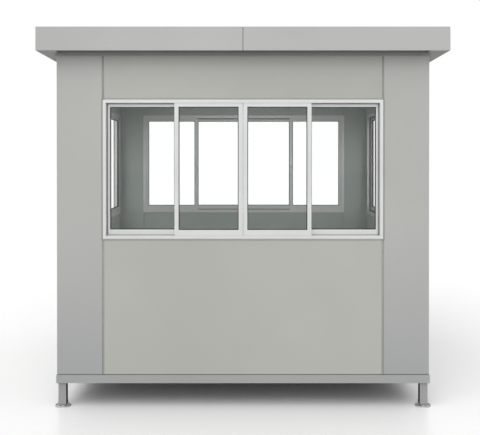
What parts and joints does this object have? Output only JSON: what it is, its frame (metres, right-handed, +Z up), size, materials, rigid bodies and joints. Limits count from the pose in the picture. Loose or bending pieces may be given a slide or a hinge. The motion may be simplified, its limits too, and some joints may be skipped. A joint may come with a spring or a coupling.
{
  "type": "security guard booth",
  "caption": "Square grey panel guard booth with sliding windows all round, a side door, a fascia-edged flat roof and a base frame on short legs with round feet.",
  "frame": {"origin": "on the ground under the middle of the cabin", "axes": "+Z up, front window towards -Y, +X to the right seen from the front"},
  "size_m": [2.616, 2.6184, 2.438],
  "materials": {
    "foot_steel": "galvanised",
    "base_paint": "satin grey paint",
    "joist_steel": "grey primer",
    "floor_board": "grey vinyl floor covering",
    "corner_paint": "satin grey paint",
    "wall_paint": "satin light grey paint",
    "beam_paint": "satin grey paint",
    "roof_paint": "matt grey paint",
    "fascia_paint": "satin light grey paint",
    "window_glass": "clear, slightly grey",
    "gasket_rubber": "black",
    "door_metal": "satin",
    "window_aluminium": "satin anodised"
  },
  "bodies": {
    "root": {"foot_plates": "foot_steel", "legs": "base_paint", "base_channels_front_back": "base_paint", "base_channels_sides": "base_paint", "floor_joists": "joist_steel", "floor_panel": "floor_board", "corner_front_left": "corner_paint", "corner_front_right": "corner_paint", "corner_back_left": "corner_paint", "corner_back_right": "corner_paint", "front_sill_panel": "wall_paint", "front_head_panel": "wall_paint", "back_sill_panel": "wall_paint", "back_head_panel": "wall_paint", "left_sill_panel": "wall_paint", "left_head_panel": "wall_paint", "left_plain_panel": "wall_paint", "right_sill_panel": "wall_paint", "right_head_panel": "wall_paint", "door_head_panel": "wall_paint", "top_beams_front_back": "beam_paint", "top_beams_sides": "beam_paint", "roof_panel_left": "roof_paint", "roof_panel_right": "roof_paint", "fascia_front_left": "fascia_paint", "fascia_front_right": "fascia_paint", "fascia_back": "fascia_paint", "fascia_left": "fascia_paint", "fascia_right": "fascia_paint", "front_window_frame": "window_aluminium", "front_window_outer_sashes": "window_aluminium", "front_window_inner_sashes": "window_aluminium", "front_window_glass": "window_glass", "back_window_frame": "window_aluminium", "back_window_outer_sashes": "window_aluminium", "back_window_inner_sashes": "window_aluminium", "back_window_glass": "window_glass", "left_window_frame": "window_aluminium", "left_window_sashes": "window_aluminium", "left_window_glass": "window_glass", "right_window_frame": "window_aluminium", "right_window_sashes": "window_aluminium", "right_window_glass": "window_glass", "glazing_gaskets": "gasket_rubber", "door_frame": "window_aluminium", "door_leaf": "window_aluminium", "door_panel": "wall_paint", "door_glass": "window_glass", "door_handle": "door_metal", "door_hinges": "door_metal"}
  },
  "joints": []
}
